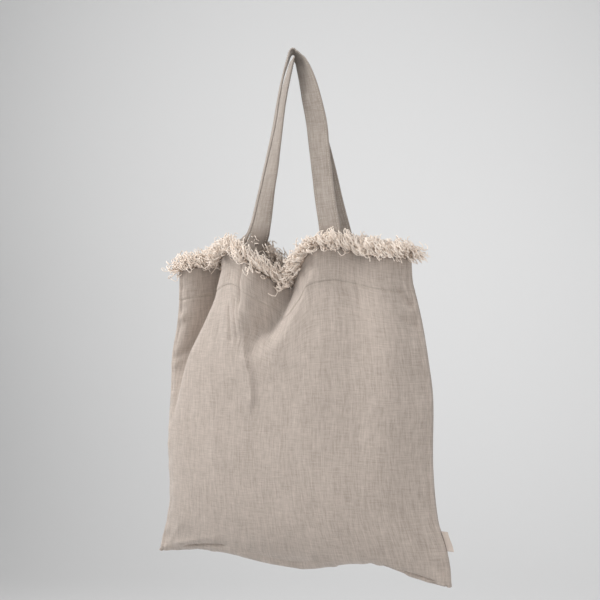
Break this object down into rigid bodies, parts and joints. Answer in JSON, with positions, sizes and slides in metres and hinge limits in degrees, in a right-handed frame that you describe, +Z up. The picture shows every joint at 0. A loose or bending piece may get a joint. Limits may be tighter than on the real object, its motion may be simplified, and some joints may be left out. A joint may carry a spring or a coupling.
{
  "type": "linen tote bag",
  "caption": "Unlined linen tote bag with a frayed top edge, hanging by its two long handles, its mouth gathered and its panels softly folded.",
  "frame": {"origin": "underside of the handles' crown, where the bag hangs", "axes": "+Z up, +X to the right across the bag, -Y out of the front panel"},
  "size_m": [0.4455, 0.1077, 0.6892],
  "materials": {
    "linen": "undyed plain-weave linen with slubs",
    "fringe_yarn": "loose cream cotton-linen yarn",
    "label_tape": "smooth folded woven tape, left bare"
  },
  "bodies": {
    "root": {"front_panel": "linen", "back_panel": "linen", "front_fringe": "fringe_yarn", "back_fringe": "fringe_yarn", "front_handle": "linen", "back_handle": "linen", "side_label": "label_tape"}
  },
  "joints": []
}
